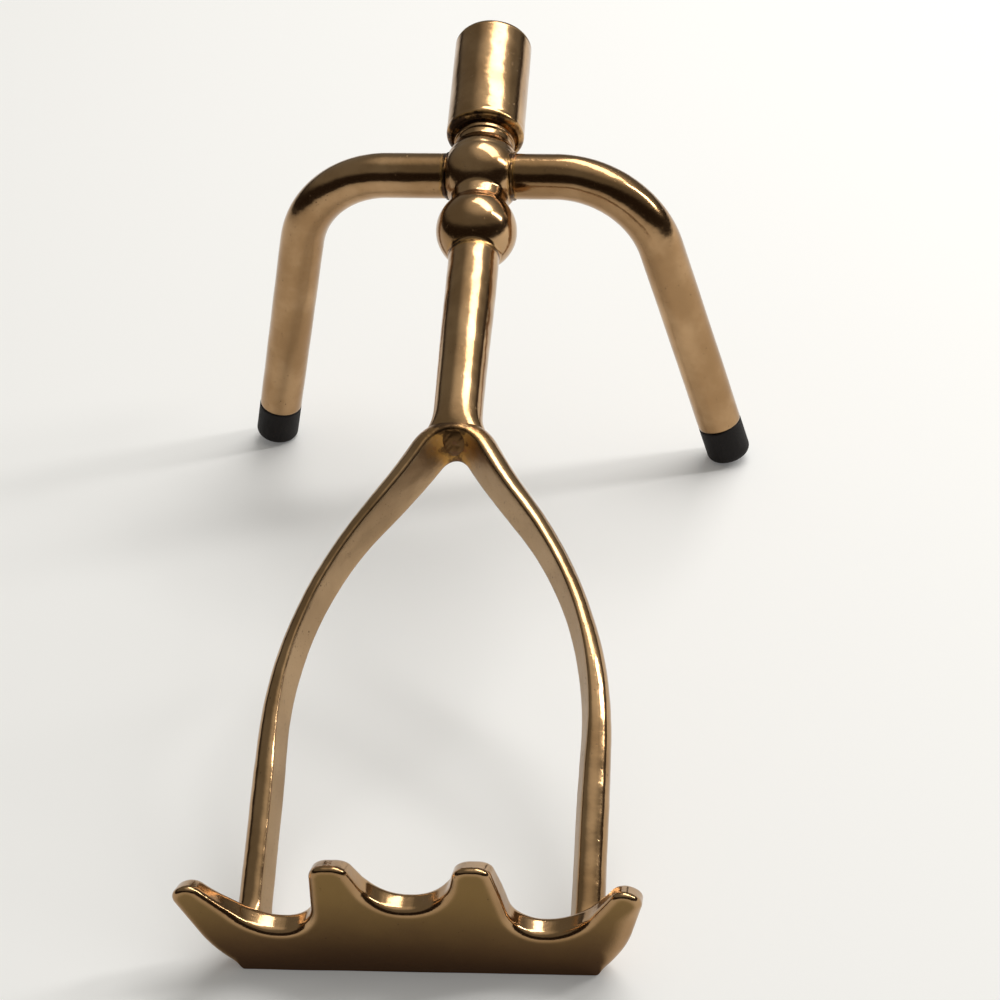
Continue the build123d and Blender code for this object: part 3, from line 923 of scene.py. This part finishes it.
CEILING_WAY = (0.0, 0.342, 0.940)       # from the object to the middle of the light ceiling
GLOW_WAY = (0.230, 0.350, 0.908)        # and to the brightest part of it, near the window
CAMERA_PLACE = (0.084675, -0.321391, 0.359059)
CAMERA_TARGET = (0.013801, 0.086814, 0.060650)
CAMERA_ROLL = math.radians(-6.454)
CAMERA_LENS, CAMERA_SENSOR = 79.21, 36  # millimetres
FLOOR_REACH = 6.0


def add_room(scene, colours):
    """Surroundings that are dark near the horizon and lighter overhead, most of all behind the object."""
    world = bpy.data.worlds.new("room")
    f = RoomFinish(world)
    way = f.add("ShaderNodeTexCoord", {}, {}, "Generated")
    paint = tuple(colours.room)
    for middle, low, high, over in ((CEILING_WAY, 0.26, 0.48, colours.ceiling),
                                    (GLOW_WAY, 0.72, 0.99, colours.glow)):
        facing = f.add("ShaderNodeVectorMath", {"operation": "DOT_PRODUCT"}, {0: way, 1: middle}, "Value")
        paint = facing.above(low, high).blend(paint, over)
    f.feed(f.tree.nodes["Background"].inputs["Color"], paint)
    scene.world = world


def make_stage(scene):
    """Pale floor, soft windows behind and beside the object, a dim warm room, and the camera."""
    colours = scene.rest_colours
    mesh = bpy.data.meshes.new("floor")
    corners = ((-1, -1, 0), (1, -1, 0), (1, 1, 0), (-1, 1, 0))
    mesh.from_pydata([Vector(corner) * FLOOR_REACH for corner in corners], [], [(0, 1, 2, 3)])
    floor = bpy.data.objects.new("floor", mesh)
    bpy.context.collection.objects.link(floor)
    f = Finish("pale_floor")
    f.shade(base_color=tuple(colours.floor), roughness=0.9, emission_color=(1.0, 1.0, 1.0))
    f.feed(f.shader.inputs["Emission Strength"], 0.12)
    f.feed(f.shader.inputs["Specular IOR Level"], 0.1)
    mesh.materials.append(f.material)
    add_window("window_behind", 32, 55, 1.5, 1.20, 0.56, 14, colours.daylight)
    add_window("window_right", 72, 32, 1.4, 0.15, 0.62, 6, colours.daylight)
    add_room(scene, colours)
    scene.view_settings.view_transform = "Standard"
    camera = bpy.data.objects.new("camera", bpy.data.cameras.new("camera"))
    bpy.context.collection.objects.link(camera)
    camera.data.lens, camera.data.sensor_width = CAMERA_LENS, CAMERA_SENSOR
    camera.matrix_world = (Matrix.Translation(CAMERA_PLACE) @ look(CAMERA_PLACE, CAMERA_TARGET)
                           @ Matrix.Rotation(CAMERA_ROLL, 4, "Z"))
    scene.camera = camera


# ---- operators, panel and start ----
FINISHES = {}               # made once, by the first step


class Step:
    """A step of the build: an operator whose build method makes its pieces."""

    def execute(self, context):
        self.build(context.scene)
        return {"FINISHED"}


class REST_OT_finishes(Step, Operator):
    """Makes the brass and rubber finishes"""

    bl_idname = "rest.finishes"
    bl_label = "Finishes"

    def build(self, scene):
        FINISHES.update(make_finishes(scene.rest_colours))


class REST_OT_hub(Step, Operator):
    """Makes the turned hub and the ferrule behind it"""

    bl_idname = "rest.hub"
    bl_label = "Hub and ferrule"

    def build(self, scene):
        make_ferrule(scene, Places(scene), FINISHES["ferrule"])
        make_hub(scene, Places(scene), FINISHES["hub"])


class REST_OT_fork(Step, Operator):
    """Makes the neck, the wishbone fork and the filler where they meet"""

    bl_idname = "rest.fork"
    bl_label = "Neck and fork"

    def build(self, scene):
        make_neck(scene, Places(scene), FINISHES["neck"])
        make_fork(scene, Places(scene), FINISHES["fork"])
        make_crotch_filler(scene, Places(scene), FINISHES["fork"])


class REST_OT_crown(Step, Operator):
    """Makes the notched crown plate"""

    bl_idname = "rest.crown"
    bl_label = "Crown"

    def build(self, scene):
        make_crown(scene, FINISHES["crown"])


class REST_OT_legs(Step, Operator):
    """Makes the two bent legs, their rubber tips and the filler beads at their roots"""

    bl_idname = "rest.legs"
    bl_label = "Legs and tips"

    def build(self, scene):
        place = Places(scene)
        rod = scene.rest_legs.rod / 2
        root = math.sqrt((scene.rest_hub.ball / 2) ** 2 - rod ** 2) + 0.25 * MM
        for side, name in ((-1, "left"), (1, "right")):
            make_leg(scene, place, side, FINISHES["legs"])
            make_tip(scene, place, side, FINISHES["rubber"])
            filler_bead("leg_filler_" + name, "leg_" + name, FINISHES["legs"],
                        place.rear_ball + place.cross * (side * root), place.cross * side,
                        rod + 0.08 * MM, 0.26 * MM, 70 + side)


class REST_OT_stage(Step, Operator):
    """Makes the pale floor, the soft light and the camera"""

    bl_idname = "rest.stage"
    bl_label = "Stage"

    def build(self, scene):
        make_stage(scene)


class REST_PT_panel(Panel):
    """Lists the steps that build the cue rest head"""

    bl_idname = "REST_PT_panel"
    bl_label = "Cue rest head"
    bl_space_type = "VIEW_3D"
    bl_region_type = "UI"
    bl_category = "Cue rest"

    def draw(self, context):
        for step in STEPS:
            self.layout.operator(step.bl_idname)
        for group in SETTINGS:
            box = self.layout.box()
            settings = getattr(context.scene, group)
            for key in settings.__annotations__:
                box.prop(settings, key)


STEPS = (REST_OT_finishes, REST_OT_hub, REST_OT_fork, REST_OT_crown, REST_OT_legs, REST_OT_stage)
SETTINGS = {"rest_hub": HubSizes, "rest_fork": NeckForkSizes, "rest_crown": CrownSizes,
            "rest_legs": LegSizes, "rest_colours": Colours}


def register():
    """Registers the settings, the operators and the panel."""
    for group, kind in SETTINGS.items():
        bpy.utils.register_class(kind)
        setattr(bpy.types.Scene, group, PointerProperty(type=kind))
    for kind in (*STEPS, REST_PT_panel):
        bpy.utils.register_class(kind)


def unregister():
    """Removes everything that register added."""
    for kind in (REST_PT_panel, *STEPS[::-1]):
        bpy.utils.unregister_class(kind)
    for group, kind in SETTINGS.items():
        delattr(bpy.types.Scene, group)
        bpy.utils.unregister_class(kind)


def main():
    """Registers the steps and builds everything in order."""
    register()
    bpy.ops.rest.finishes()
    bpy.ops.rest.hub()
    bpy.ops.rest.fork()
    bpy.ops.rest.crown()
    bpy.ops.rest.legs()
    bpy.ops.rest.stage()


if __name__ == "__main__":
    main()
